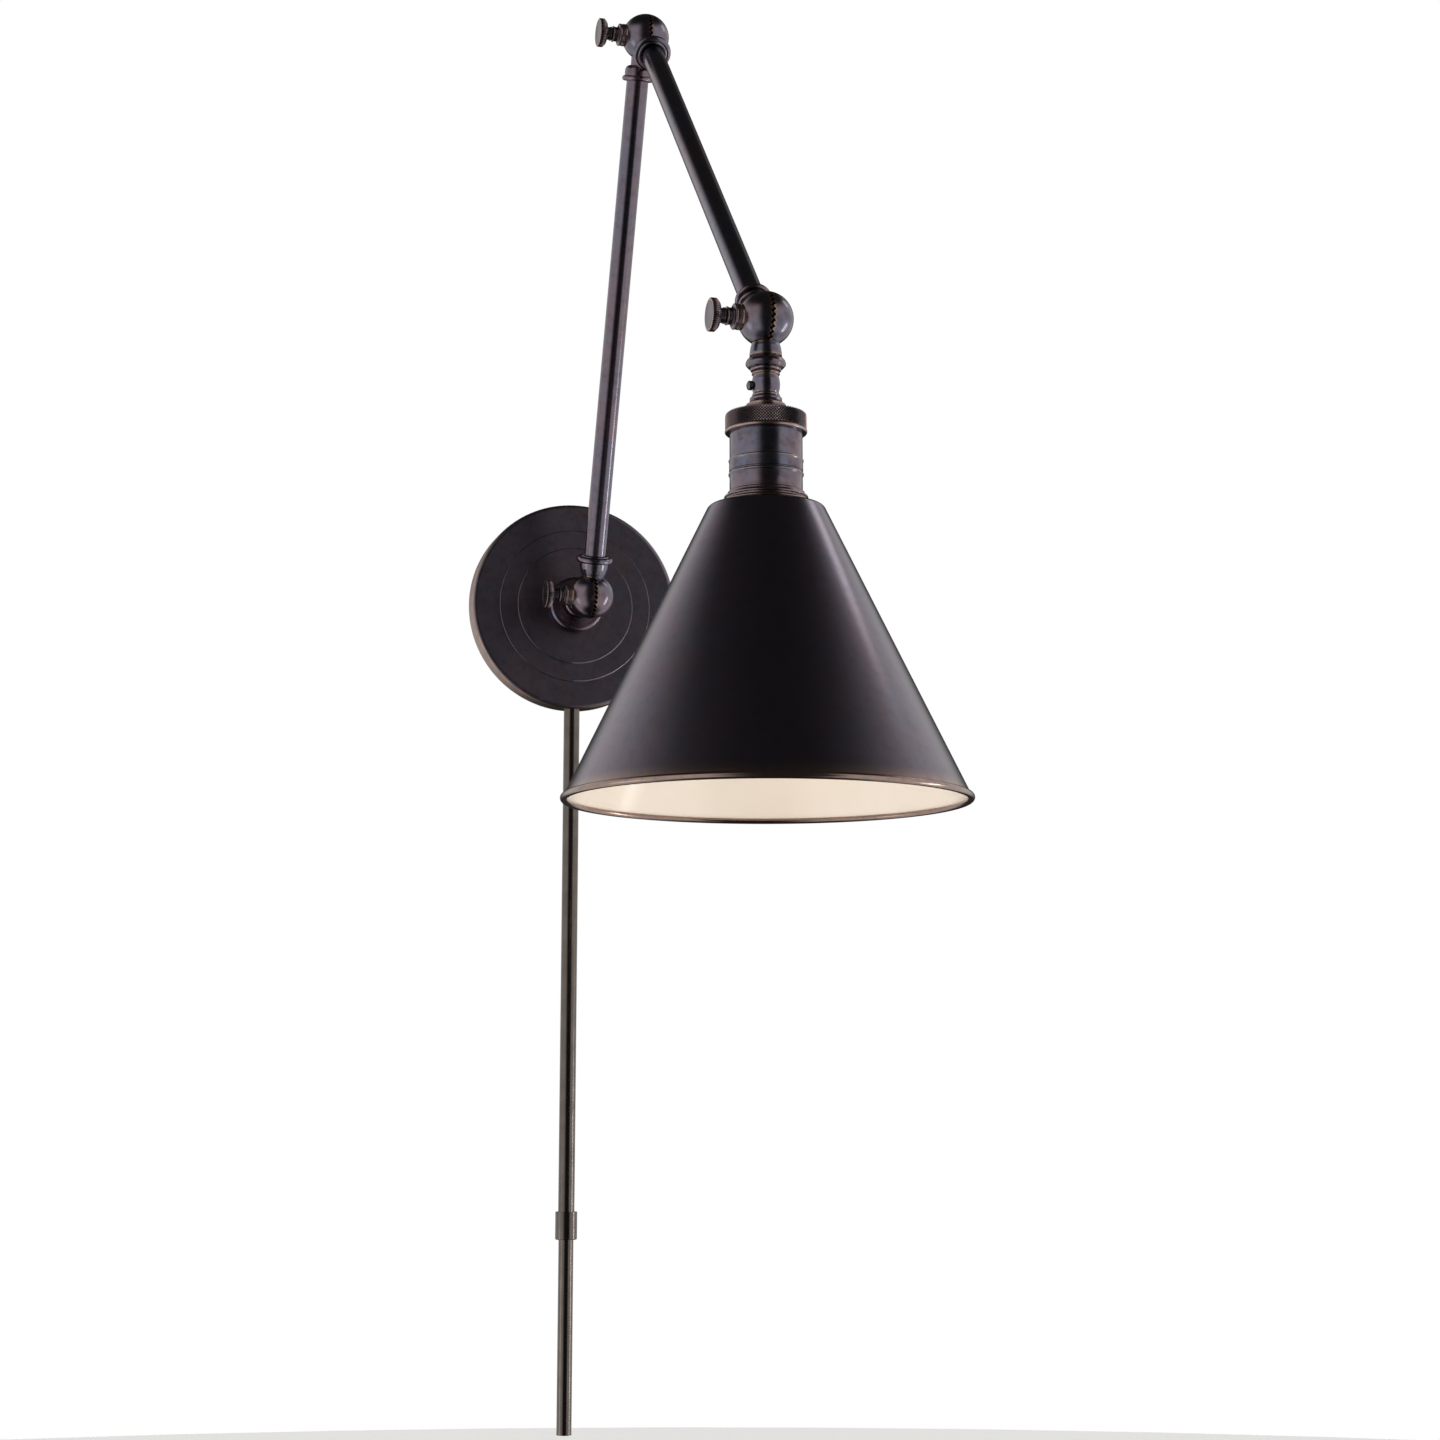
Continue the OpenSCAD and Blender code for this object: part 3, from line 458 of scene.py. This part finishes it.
class WALLLIGHT_OT_studio(bpy.types.Operator):
    """Makes the camera, the pale floor and the soft light"""

    bl_idname = "wall_light.studio"
    bl_label = "Studio"

    def execute(self, context):
        self.camera(context)
        self.surroundings(context)
        self.lamps(context)
        self.floor(context)
        context.scene.view_settings.view_transform = "Standard"
        return {"FINISHED"}

    def camera(self, context):
        studio = context.scene.wall_light_studio
        data = bpy.data.cameras.new("Camera")
        data.sensor_width, data.lens, data.shift_y = 36, studio.lens, studio.shift
        data.clip_start, data.clip_end = 0.05, 50
        camera = bpy.data.objects.new("Camera", data)
        context.scene.collection.objects.link(camera)
        forward = Vector((
            -math.sin(studio.azimuth) * math.cos(studio.rise),
            math.cos(studio.azimuth) * math.cos(studio.rise),
            math.sin(studio.rise),
        ))
        camera.location = CAMERA_AIM - studio.distance * forward
        camera.rotation_mode = "QUATERNION"
        camera.rotation_quaternion = forward.to_track_quat("-Z", "Y")
        context.scene.camera = camera

    def surroundings(self, context):
        """Two broad soft walls of light in a dark room, for metal to reflect; the camera sees plain white.

        The walls' edges are given in degrees from the camera's own side and from the horizon.
        """
        dark, bright = 0.03, 0.85
        world = bpy.data.worlds.new("Studio surroundings")
        context.scene.world = world
        world.use_nodes = True
        tree = world.node_tree
        turn = context.scene.wall_light_studio.azimuth
        direction = add_node(tree, "ShaderNodeTexCoord").outputs["Generated"]
        parts = add_node(tree, "ShaderNodeSeparateXYZ", inputs={0: direction}).outputs

        def combine(operation, *values):
            inputs = dict(enumerate(values))
            return add_node(tree, "ShaderNodeMath", {"operation": operation}, inputs).outputs[0]

        def step(value, low, high):
            return add_node(
                tree, "ShaderNodeMapRange", {"interpolation_type": "SMOOTHSTEP"},
                {"Value": value, "From Min": math.radians(low), "From Max": math.radians(high)},
            ).outputs["Result"]

        azimuth = combine("ARCTAN2", parts["X"], combine("MULTIPLY", parts["Y"], -1.0))
        side = combine("SUBTRACT", azimuth, turn)
        height = combine("ARCSINE", parts["Z"])
        left, right = step(side, -12, -40), step(side, 36, 46)
        not_behind = step(combine("ABSOLUTE", side), 164, 142)
        between_heights = combine("MULTIPLY", step(height, 54, 28), step(height, -68, -46))
        walls = combine("MULTIPLY", combine("MAXIMUM", left, right), not_behind)
        walls = combine("MULTIPLY", walls, between_heights)
        light = add_node(
            tree, "ShaderNodeMapRange", inputs={"Value": walls, "To Min": dark, "To Max": bright}
        ).outputs["Result"]
        seen = add_node(tree, "ShaderNodeLightPath").outputs["Is Camera Ray"]
        strength = combine("MAXIMUM", light, seen)
        background = tree.nodes["Background"]
        background.inputs["Color"].default_value = (1, 1, 1, 1)
        tree.links.new(strength, background.inputs["Strength"])

    def add_lamp(self, context, name, kind, energy, glossy):
        """A lamp that the camera doesn't see, and that metal reflects only when it is glossy."""
        data = bpy.data.lights.new(name, kind)
        data.energy = energy
        lamp = bpy.data.objects.new(name, data)
        context.scene.collection.objects.link(lamp)
        lamp.visible_camera = False
        lamp.visible_glossy = glossy
        return lamp

    def lamps(self, context):
        """Lamps that add hot centres to the soft walls, and two others that metal doesn't reflect."""
        middle = (cad_box[0] + cad_box[1]) / 2
        turn = context.scene.wall_light_studio.azimuth
        for name, side, rise, distance, width, height, power, glossy in (
            ("Right strip", 98, -18, 2.0, 0.2, 1.0, 5.0, True),
            ("Right high", 114, 44, 2.0, 0.35, 0.5, 1.0, True),
            ("Left soft", -80, -22, 2.0, 0.7, 0.8, 1.8, True),
            ("Under soft", -12, -58, 1.1, 1.4, 1.4, 3.4, False),
        ):
            lamp = self.add_lamp(context, name, "AREA", power, glossy)
            lamp.data.shape, lamp.data.size, lamp.data.size_y = "RECTANGLE", width, height
            way = math.radians(side) + turn
            up = math.radians(rise)
            out = Vector((math.sin(way) * math.cos(up), -math.cos(way) * math.cos(up), math.sin(up)))
            lamp.location = middle + distance * out
            lamp.rotation_mode = "QUATERNION"
            lamp.rotation_quaternion = (-out).to_track_quat("-Z", "Y")
        overhead = self.add_lamp(context, "Overhead soft", "SUN", 2.3, False)
        overhead.data.angle = math.radians(60)

    def floor(self, context):
        bm = bmesh.new()
        bmesh.ops.create_circle(bm, cap_ends=True, segments=96, radius=FLOOR_RADIUS)
        bmesh.ops.translate(bm, verts=bm.verts, vec=(0, 0, -context.scene.wall_light_studio.floor_drop))
        mesh = bpy.data.meshes.new("Floor")
        bm.to_mesh(mesh)
        bm.free()
        floor = bpy.data.objects.new("Floor", mesh)
        context.scene.collection.objects.link(floor)
        floor.visible_glossy = False
        moulded("Pale painted floor", "#f1f0ee", "#eae9e6", 0.6, 40)
        mesh.materials.append(material_named("Pale painted floor"))


BRONZE_OF = {
    "Spun bronze plate": ["wall_plate"],
    "Drawn bronze tube": ["lower_arm_tube", "upper_arm_tube"],
    "Turned bronze": [
        "hub_knuckle", "lower_arm_knuckle", "elbow_knuckle", "upper_arm_knuckle", "shade_knuckle",
        "neck_knuckle", "neck_barrel",
    ],
    "Dark turned bronze": ["socket_cap", "hub_ring", "barrel_set_screw"],
}
OTHERS_OF = {
    "Drawn brass cover": ["cord_cover_tube", "cord_cover_slider", "cord_cover_collar"],
    "Zinc plated steel": ["mounting_bar", "nipple_locknut"],
    "Green earth screw": ["ground_screw"],
    "Bare brass": ["mounting_nipple", "centre_contact", "terminal_screws"],
    "Black lead jacket": ["supply_wires", "lower_arm_wires", "upper_arm_wires", "head_wires"],
    "Black phenolic": ["cord_bushing", "socket_liner", "shade_ring"],
    "Glazed porcelain": ["socket_body"],
}


class WALLLIGHT_OT_finishes(bpy.types.Operator):
    """Makes every finish, and puts it on the pieces whose shape is right already"""

    bl_idname = "wall_light.finishes"
    bl_label = "Finishes"

    def execute(self, context):
        plate_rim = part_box("wall_plate")[1].x - 0.6 * MM
        bronze("Spun bronze plate", 0.36, lines=0.3, mottle=0.5, reach=0.6 * MM, rub=0.4, rim=plate_rim)
        bronze("Spun bronze shade", 0.21, stretch=(0.2, 0.2, 14), lines=0.15, mottle=0.3, rub=0.7)
        bronze("Drawn bronze tube", 0.2, stretch=(6, 6, 0.6), lines=0.3, mottle=0.6)
        bronze("Spun bronze sleeve", 0.22, stretch=(0.3, 0.3, 6), lines=0.4, rub=0.8)
        bronze("Turned bronze", 0.23, stretch=(2, 2, 2), lines=0.3, mottle=0.8, reach=1.25 * MM, rub=0.8)
        bronze("Dark turned bronze", 0.26, stretch=(2, 2, 2), lines=0.3, mottle=0.8, rub=0.8)
        bronze("Milled bronze", 0.28, stretch=(3, 3, 3), lines=0.3, mottle=0.5, rub=0.9, hollow_wax_and_shade=0.9)
        plain_metal("Drawn brass cover", "#79706a", "#57504b", 0.2, 9)
        enamel()
        plain_metal("Zinc plated steel", "#c4c6c9", "#9fa2a6", 0.35, 0.8)
        plain_metal("Green earth screw", "#3f7a4c", "#2e5c39", 0.35, 1.0)
        plain_metal("Bare brass", "#d8b36a", "#b58f4c", 0.3, 1.0)
        moulded("Black lead jacket", "#1c1c1d", "#262627", 0.5, 0.6)
        moulded("Black phenolic", "#1b1918", "#2a2624", 0.4, 0.8, 1.6)
        moulded("Glazed porcelain", "#f1eee6", "#e4dfd3", 0.15, 6.0, 1.54)
        for finish, nodes in {**BRONZE_OF, **OTHERS_OF}.items():
            for node in nodes:
                frame["nodes"][node].data.materials.clear()
                frame["nodes"][node].data.materials.append(material_named(finish))
        return {"FINISHED"}


class WALLLIGHT_OT_ring_nut(bpy.types.Operator):
    """Builds the ring nut with its diamond knurling, rounded shoulder and plain bead"""

    bl_idname = "wall_light.ring_nut"
    bl_label = "Ring nut"

    def execute(self, context):
        sizes = context.scene.wall_light_sizes
        place, radius, top, bottom = axis_of("knurled_ring")
        crest_radius = radius - 0.1 * MM
        root = crest_radius - sizes.knurl_depth
        shoulder = 1.6 * MM
        bead = 0.95 * MM
        band_end = bottom + 2 * bead
        turned, straight = math.pi / 2 * shoulder, top - shoulder - band_end
        around = round(2 * math.pi * crest_radius / sizes.knurl_pitch)
        rows = round((turned + straight) / (sizes.knurl_pitch / 2))
        rows += rows % 2
        turn_rows = round(rows * turned / (turned + straight))
        curve = arc((root - shoulder, top - shoulder), shoulder, 90, 0, turn_rows)
        drop = straight / (rows - turn_rows)
        band = curve + [(root, top - shoulder - drop * i) for i in range(1, rows - turn_rows + 1)]
        bm = bmesh.new()
        row = bm.verts.layers.int.new("row")
        crest = bm.verts.layers.float.new("crest")
        points = [bm.verts.new((r, 0, z)) for r, z in band]
        for i, vert in enumerate(points):
            vert[row] = i
        edges = [bm.edges.new(pair) for pair in zip(points, points[1:])]
        turn_about_axis(bm, points + edges, 2 * around)
        bmesh.ops.recalc_face_normals(bm, faces=bm.faces)
        bm.normal_update()
        if sum(f.normal.dot(f.calc_center_median()) for f in bm.faces) <= 0:
            bmesh.ops.reverse_faces(bm, faces=bm.faces)
            bm.normal_update()
        # Alternate points stand up, as on a chessboard, and each is the crest of a diamond. The points left
        # down keep a crest of 0, which the milled bronze paints near-black in the valleys, partly for old
        # wax and partly as painted shade.
        for vert in bm.verts:
            spoke = round(math.atan2(vert.co.y, vert.co.x) / math.pi * around) % (2 * around)
            if (spoke + vert[row]) % 2 and 0 < vert[row] < rows:
                vert.co += vert.normal * sizes.knurl_depth
                vert[crest] = 1
        bmesh.ops.triangulate(bm, faces=bm.faces, quad_method="SHORT_EDGE", ngon_method="BEAUTY")
        piece(
            "ring_nut_knurling", bm, place, material_named("Milled bronze"), "lamp_head",
            sharp=20,
        )
        lip = 16 * MM
        bore = radius - 2.2 * MM
        core = [
            (lip, top), (root - shoulder + 0.02 * MM, top), (root - 0.3 * MM, top - shoulder),
            (root - 0.3 * MM, band_end), (root, band_end),
            *arc((radius - bead, bottom + bead), bead, 75, -75, 10),
            (radius - bead, bottom), (bore, bottom), (bore, top - 1.3 * MM), (lip, top - 1.3 * MM),
        ]
        crests = [(bottom, top, 0, 0.35), (bottom + 0.3 * MM, band_end, root, 0.8)]
        bm = rub_crests(spun(core, 128), crests)
        piece(
            "ring_nut", bm, place, material_named("Milled bronze"), "lamp_head",
            ["knurled_ring"],
        )
        return {"FINISHED"}


def thumbscrew(sizes):
    """A bmesh of a thumbscrew along +Z from its knuckle's centre: shank, neck and milled head."""
    neck_radius, head_radius, head_depth, neck_length = 4 * MM, 8.2 * MM, 4.5 * MM, 3.4 * MM
    shank_radius, shank_tip = 2.5 * MM, -7 * MM
    neck = BALL_RADIUS + BOSS_LENGTH + 0.3 * MM
    head = neck + neck_length
    face = head + head_depth
    rim_low, rim_high = head + 1.5 * MM, face - 0.55 * MM
    profile = [
        (0, shank_tip), (shank_radius - 0.6 * MM, shank_tip), (shank_radius, shank_tip + 0.6 * MM),
        (shank_radius, neck), (neck_radius - 0.3 * MM, neck), (neck_radius, neck + 0.3 * MM),
        (neck_radius, neck + 0.9 * MM), (neck_radius - 0.35 * MM, neck + 1.2 * MM),
        (neck_radius - 0.35 * MM, head - 0.8 * MM), (neck_radius + 0.2 * MM, head - 0.3 * MM),
        (head_radius - 1.9 * MM, head), (head_radius - 1.5 * MM, head + 0.1 * MM),
        (head_radius - 0.15 * MM, rim_low - 0.15 * MM), (head_radius, rim_low + 0.1 * MM),
        (head_radius, rim_high), (head_radius - 0.1 * MM, rim_high + 0.25 * MM),
        (head_radius - 0.5 * MM, face - 0.05 * MM), (head_radius - 0.9 * MM, face),
        (head_radius - 1.7 * MM, face), (head_radius - 2.0 * MM, face - 0.15 * MM),
        (head_radius - 2.3 * MM, face - 0.12 * MM), (1 * MM, face - 0.12 * MM), (0, face - 0.12 * MM),
    ]
    steps_per_tooth = 4
    bm = spun(profile, sizes.mill_count * steps_per_tooth, closed=False)
    crest = bm.verts.layers.float.new("crest")
    # A crest under 0.35 is painted darker on milled bronze: the valleys between the teeth and the narrow
    # neck under the head, partly for old wax and partly as painted shade.
    for vert in bm.verts:
        radius = vert.co.xy.length
        if radius > head_radius - 0.3 * MM:
            turn = math.atan2(vert.co.y, vert.co.x) / (2 * math.pi) * sizes.mill_count
            tooth = 0.5 + 0.5 * math.cos(2 * math.pi * turn)
            vert.co.xy *= (radius - sizes.mill_depth * (1 - tooth)) / radius
            vert[crest] = 0.15 + 0.6 * tooth
        elif radius > head_radius - 1.2 * MM and vert.co.z > rim_high:
            vert[crest] = 0.9
        elif head - 0.5 * MM > vert.co.z > neck - 0.1 * MM:
            vert[crest] = 0.5 if radius > neck_radius - 0.1 * MM else 0.2
        else:
            vert[crest] = 0.35
    return bm


def screw_boss():
    """A bmesh of the turned boss that a thumbscrew passes through: a collar on the ball, then a neck."""
    root, collar, neck, bore, end = 11.8 * MM, 6.4 * MM, 4.1 * MM, 2.7 * MM, BOSS_END
    profile = [
        (bore, root), (collar - 0.2 * MM, root), (collar, root + 0.3 * MM), (collar, root + 1.5 * MM),
        *arc((collar + 0.05 * MM, root + 1.9 * MM), 0.35 * MM, 260, 100, 6),
        *arc((collar - 0.75 * MM, root + 3.9 * MM), 0.75 * MM, -60, 90, 8),
        (neck + 0.7 * MM, root + 4.8 * MM),
        *arc((neck + 0.9 * MM, root + 5.9 * MM), 0.9 * MM, 250, 150, 6),
        (neck, end - 1.2 * MM), *arc((neck, end - 0.6 * MM), 0.5 * MM, -80, 80, 6),
        (neck - 0.3 * MM, end), (bore, end),
    ]
    # A crest under 0.35 darkens on milled bronze: the boss's narrow waist, at 0.1, is painted darker,
    # partly for old wax and partly as painted shade.
    crests = [
        (root, end, 0, 0.35), (root + 0.2 * MM, root + 4.3 * MM, collar - 0.1 * MM, 0.75),
        (end - 1 * MM, end - 0.2 * MM, neck + 0.3 * MM, 0.7), (root + 5 * MM, end - 1.4 * MM, 0, 0.1),
    ]
    return rub_crests(spun(profile, 96), crests)


class WALLLIGHT_OT_thumbscrews(bpy.types.Operator):
    """Builds the three thumbscrews with straight-milled heads, and their bosses"""

    bl_idname = "wall_light.thumbscrews"
    bl_label = "Thumbscrews"

    def execute(self, context):
        sizes = context.scene.wall_light_sizes
        for node, centre, body, holder in (
            ("hub_thumbscrew", hub, "hub_clamp", "wall_side"),
            ("elbow_thumbscrew", elbow, "elbow_clamp", "lower_arm"),
            ("shade_thumbscrew", lamp_pivot, "shade_clamp", "upper_arm"),
        ):
            place = Matrix.Translation(centre) @ Matrix.Rotation(math.radians(-90), 4, "Y")
            boss = node.replace("_thumbscrew", "_screw_boss")
            piece(
                boss.replace("screw_boss", "turned_boss"), screw_boss(), place,
                material_named("Milled bronze"), holder, [boss], sharp=40,
            )
            piece(
                node.replace("_thumbscrew", "_clamp_screw"), thumbscrew(sizes), place,
                material_named("Milled bronze"), body, [node], sharp=28,
            )
        return {"FINISHED"}


def shade_line(sizes, inset):
    """The shade's seat and shoulder at a depth under its outer face, and how it slants to its rim."""
    _, radius, top, low = axis_of("shade")
    rim = low + sizes.rim_bead / 2
    rim_radius = radius - sizes.rim_bead / 2
    seat, shoulder, slope = 22.4 * MM, 3 * MM, math.radians(14)
    corner = 25.5 * MM
    slant = math.atan((rim_radius - sizes.rim_bead / 4 - corner) / (top - rim))
    start = corner + shoulder * math.sin(slope) - seat
    middle = (corner, top - start * math.tan(slope) - shoulder * math.cos(slope))
    reach = shoulder - inset
    bend = arc(middle, reach, 90 - math.degrees(slope), math.degrees(slant), 8)
    end = bend[-1]
    return [(seat - inset * math.tan(slope / 2), top - inset), *bend], end, slant, rim, rim_radius


class WALLLIGHT_OT_shade(bpy.types.Operator):
    """Builds the spun shade with its rolled rim, and the enamel inside it"""

    bl_idname = "wall_light.shade"
    bl_label = "Shade"

    def execute(self, context):
        sizes = context.scene.wall_light_sizes
        place, _, top, low = axis_of("shade")
        bead = sizes.rim_bead / 2
        neck = 16.2 * MM
        outer, end, slant, rim, rim_radius = shade_line(sizes, 0)
        inner, inner_end, _, _, _ = shade_line(sizes, sizes.shade_metal)

        def down(point, to):
            return (point[0] + (point[1] - to) * math.tan(slant), to)

        meet = rim + bead * 0.9
        profile = [(neck, top), *outer]
        profile += [down(end, end[1] + (meet - end[1]) * i / 12) for i in range(1, 13)]
        profile += arc((rim_radius, rim), bead, 62, -200, 24)
        profile += [down(inner_end, rim + bead * 0.5)]
        rise = meet - inner_end[1]
        profile += [down(inner_end, inner_end[1] + rise * i / 12) for i in range(11, 0, -1)]
        profile += [*reversed(inner), (neck, top - sizes.shade_metal)]
        bm = rub_crests(spun(profile, 224), [(low, rim + bead, rim_radius - bead, 0.75)])
        piece(
            "cone_shade", bm, place, material_named("Spun bronze shade"), "lamp_head",
            ["shade"], sharp=40,
        )
        gap = sizes.shade_metal + 0.02 * MM
        face, face_end, _, _, _ = shade_line(sizes, gap)
        coat, coat_end, _, _, _ = shade_line(sizes, gap + sizes.enamel)
        hole = 21 * MM
        low_edge = rim + bead * 0.45
        lining = [(hole, top - gap - sizes.enamel), *coat]
        lining += [down(coat_end, coat_end[1] + (low_edge - coat_end[1]) * i / 16) for i in range(1, 17)]
        lining += [down(face_end, low_edge), *reversed(face), (hole, top - gap)]
        piece(
            "shade_enamel", spun(lining, 224), place, material_named("Fired cream enamel"), "lamp_head",
            ["shade_lining"], sharp=50,
        )
        return {"FINISHED"}


class WALLLIGHT_OT_socket(bpy.types.Operator):
    """Builds the socket's sleeve with its rolled lines, the flared holder below, and the lamp's thread"""

    bl_idname = "wall_light.socket"
    bl_label = "Socket"

    def execute(self, context):
        self.sleeve()
        self.holder()
        self.screw_shell(context.scene.wall_light_sizes)
        return {"FINISHED"}

    def sleeve(self):
        place, _, top, bottom = axis_of("socket_shell")
        ring_bottom = axis_of("knurled_ring")[3]
        outer, wall = 17.4 * MM, 0.9 * MM
        first = ring_bottom - 13.4 * MM
        second = ring_bottom - 20 * MM
        line = 0.75 * MM
        profile = [(outer - wall, top), (outer, top), (outer, first + 1.0 * MM)]
        profile += arc((outer - 0.25 * MM, first), line, 68, -35, 8)
        profile += [(outer + 0.2 * MM, first - 0.8 * MM), (outer + 0.2 * MM, second + 1.5 * MM)]
        profile += [(outer - 0.15 * MM, second + 1.3 * MM), (outer - 0.15 * MM, second + 0.85 * MM)]
        profile += arc((outer - 0.2 * MM, second), line, 68, -68, 8)
        profile += [(outer, second - 1.0 * MM), (outer, bottom + 0.9 * MM)]
        profile += [(outer + 0.15 * MM, bottom + 0.6 * MM), (outer + 0.15 * MM, bottom + 0.2 * MM)]
        profile += [(outer - 0.1 * MM, bottom), (outer - wall, bottom)]
        bm = rub_crests(spun(profile, 160), [
            (height - 0.4 * MM, height + 0.4 * MM, outer + 0.25 * MM, 0.62) for height in (first, second)
        ])
        piece(
            "socket_sleeve", bm, place, material_named("Spun bronze sleeve"), "lamp_head",
            ["socket_shell"], sharp=50,
        )

    def holder(self):
        """Two trumpet flares, one under the other, each with a rolled lip that is rubbed bright."""
        place, radius, top, bottom = axis_of("shade_holder")
        lip = 0.5 * MM
        start, waist, ledge = 18.3 * MM, 19.3 * MM, radius - 2.0 * MM
        middle = top - 0.52 * (top - bottom)
        bore = 16.7 * MM

        def flare(inner, outer, high, low):
            steps = [i / 8 for i in range(9)]
            fall = low + lip - high
            return [(inner + (outer - lip - inner) * t ** 2.2, high + fall * t) for t in steps]

        profile = [(bore, top), (start - 0.3 * MM, top), *flare(start, ledge, top - 0.3 * MM, middle)]
        profile += arc((ledge - lip, middle + lip), lip, 60, -90, 8)
        profile += [(waist, middle - 0.1 * MM), *flare(waist, radius, middle - 0.5 * MM, bottom)]
        profile += arc((radius - lip, bottom + lip), lip, 60, -90, 8) + [(bore, bottom)]
        bm = rub_crests(spun(profile, 128), [
            (bottom, bottom + 2 * lip, radius - 0.6 * lip, 0.7),
            (middle, middle + 2 * lip, ledge - 0.6 * lip, 0.7),
        ])
        piece(
            "flared_holder", bm, place, material_named("Dark turned bronze"), "lamp_head",
            ["shade_holder"], sharp=50,
        )

    def screw_shell(self, sizes):
        """A rolled thread: a wavy line turned once while it moves down one pitch, so its waves join."""
        place, radius, top, bottom = axis_of("screw_shell")
        waves = int((top - bottom - 1 * MM) / sizes.thread_pitch) - 1
        per_wave, depth, thickness = 10, 0.6 * MM, 0.3 * MM
        start = top - 0.8 * MM - sizes.thread_pitch

        def wave(offset):
            crest = radius - 0.3 * MM - offset
            dips = [i / per_wave for i in range(waves * per_wave + 1)]
            return [
                (crest - depth * (0.5 - 0.5 * math.cos(2 * math.pi * t)), start - sizes.thread_pitch * t)
                for t in dips
            ]

        bm = bmesh.new()
        loop = wave(0) + list(reversed(wave(thickness)))
        points = [bm.verts.new((r, 0, z)) for r, z in loop]
        edges = [bm.edges.new((points[i - 1], points[i])) for i in range(len(points))]
        turn_about_axis(bm, points + edges, 72, merge=False, drop=sizes.thread_pitch)
        bmesh.ops.remove_doubles(bm, verts=bm.verts, dist=0.01 * MM)
        bmesh.ops.recalc_face_normals(bm, faces=bm.faces)
        piece(
            "lamp_thread", bm, place, material_named("Bare brass"), "lamp_head",
            ["screw_shell"], sharp=60,
        )


STEPS = (
    WALLLIGHT_OT_studio,
    WALLLIGHT_OT_finishes,
    WALLLIGHT_OT_ring_nut,
    WALLLIGHT_OT_thumbscrews,
    WALLLIGHT_OT_shade,
    WALLLIGHT_OT_socket,
)


class WALLLIGHT_PT_panel(bpy.types.Panel):
    """Lists the steps that build the wall light, and its settings"""

    bl_idname = "WALLLIGHT_PT_panel"
    bl_label = "Wall Light"
    bl_space_type = "VIEW_3D"
    bl_region_type = "UI"
    bl_category = "Wall Light"

    def draw(self, context):
        for step in STEPS:
            self.layout.operator(step.bl_idname)
        for group in SETTINGS:
            settings = getattr(context.scene, group)
            box = self.layout.box()
            for name in settings.bl_rna.properties.keys():
                if name not in ("rna_type", "name"):
                    box.prop(settings, name)


SETTINGS = {
    "wall_light_finish": FinishSettings,
    "wall_light_sizes": SizeSettings,
    "wall_light_studio": StudioSettings,
}


def register():
    for cls in (*SETTINGS.values(), *STEPS, WALLLIGHT_PT_panel):
        bpy.utils.register_class(cls)
    for name, cls in SETTINGS.items():
        setattr(bpy.types.Scene, name, PointerProperty(type=cls))


def unregister():
    for name in SETTINGS:
        delattr(bpy.types.Scene, name)
    for cls in (WALLLIGHT_PT_panel, *reversed(STEPS), *reversed(SETTINGS.values())):
        bpy.utils.unregister_class(cls)


def main():
    register()
    bpy.ops.wall_light.studio()
    bpy.ops.wall_light.finishes()
    bpy.ops.wall_light.ring_nut()
    bpy.ops.wall_light.thumbscrews()
    bpy.ops.wall_light.shade()
    bpy.ops.wall_light.socket()


if __name__ == "__main__":
    main()
